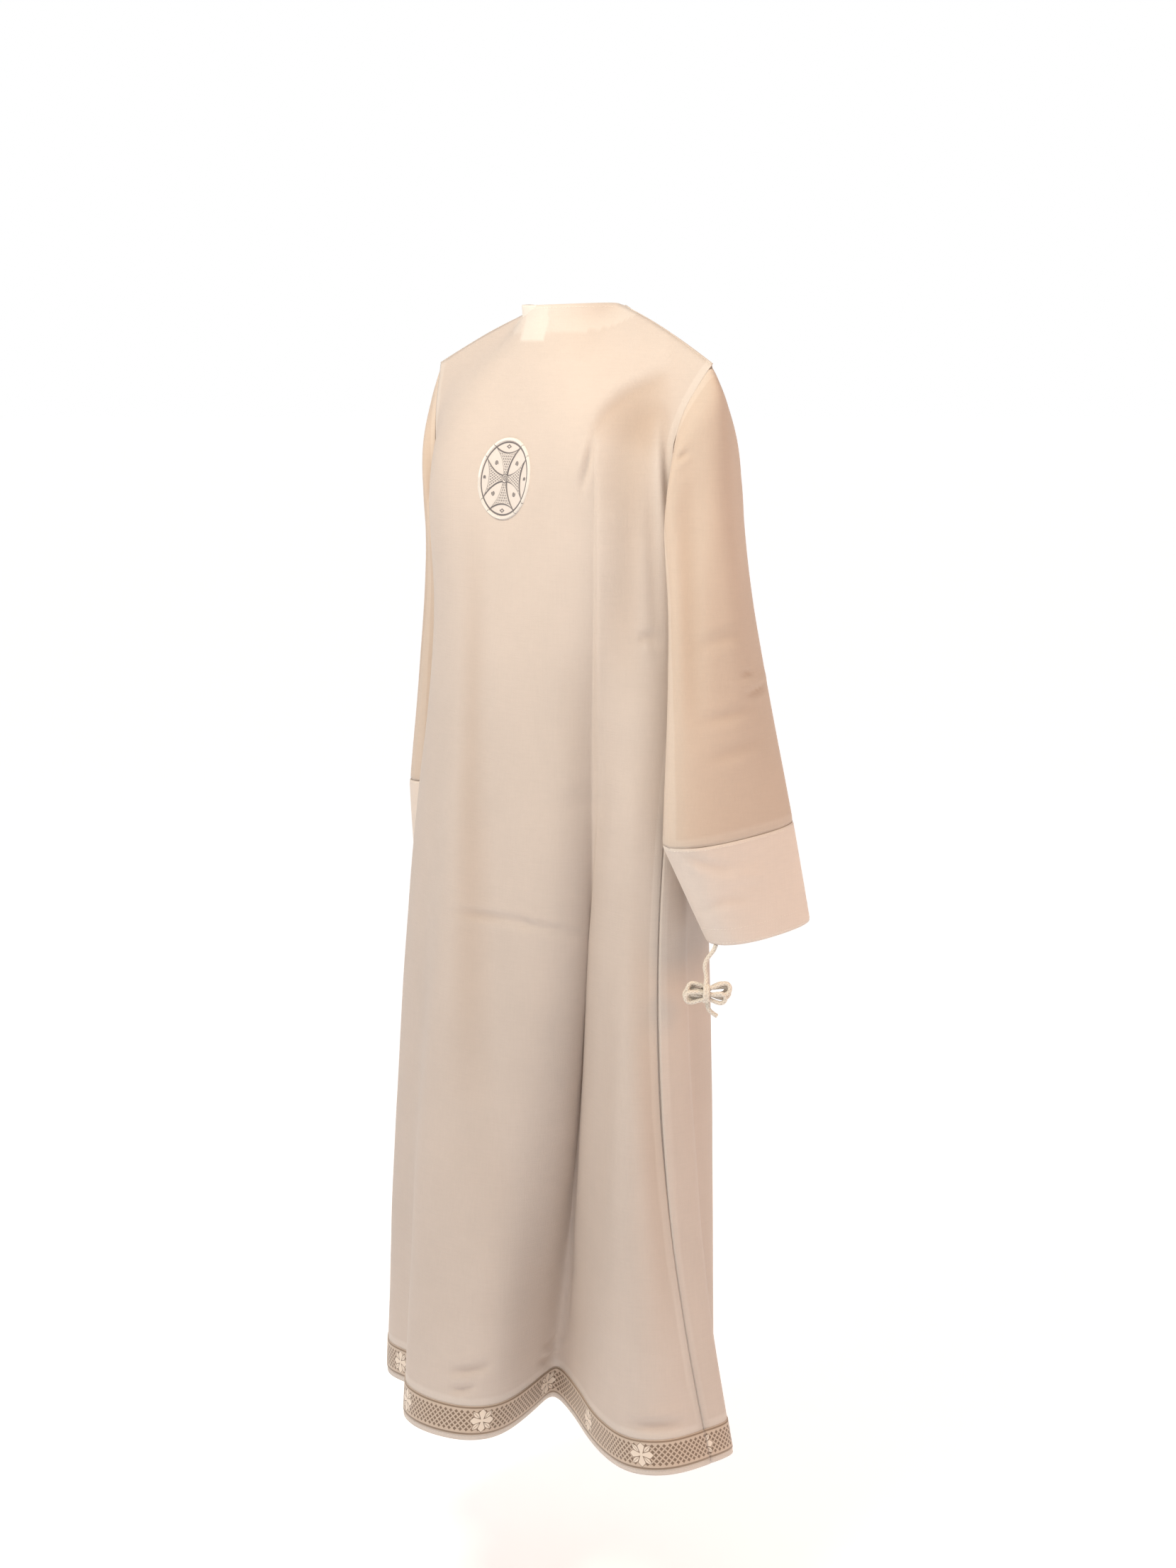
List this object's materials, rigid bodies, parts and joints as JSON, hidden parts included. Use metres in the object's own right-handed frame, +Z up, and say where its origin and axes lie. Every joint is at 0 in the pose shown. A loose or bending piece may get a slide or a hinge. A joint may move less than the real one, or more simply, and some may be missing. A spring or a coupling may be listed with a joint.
{
  "type": "alb robe",
  "caption": "Child's white semi-sheer alb with long straight sleeves, deep cuffs with tie cords, a woven band at the hem and a round embroidered cross patch on the back.",
  "frame": {"origin": "midway between the two shoulders, at the height where the wearer's shoulders hold the garment", "axes": "+Z up along the back towards the neckline, -Y out of the front, +X towards the wearer's left arm"},
  "size_m": [0.504, 0.3136, 1.0342],
  "materials": {
    "white_crepe": "matte",
    "cuff_cloth": "matte",
    "woven_band": "matte",
    "patch": "matte",
    "white_cord": "matte",
    "blank_label": "satin",
    "white_button": "gloss"
  },
  "bodies": {
    "root": {"back": "white_crepe", "front": "white_crepe", "right_sleeve": "white_crepe", "left_sleeve": "white_crepe", "right_cuff": "cuff_cloth", "left_cuff": "cuff_cloth", "hem_band_back": "woven_band", "hem_band_front": "woven_band", "neck_facing": "white_crepe", "label": "blank_label", "medallion": "patch", "button": "white_button", "button_loop": "white_cord", "right_cord": "white_cord", "right_cord_tail": "white_cord", "right_cord_hank": "white_cord", "left_cord": "white_cord", "left_cord_tail": "white_cord", "left_cord_hank": "white_cord"}
  },
  "joints": []
}
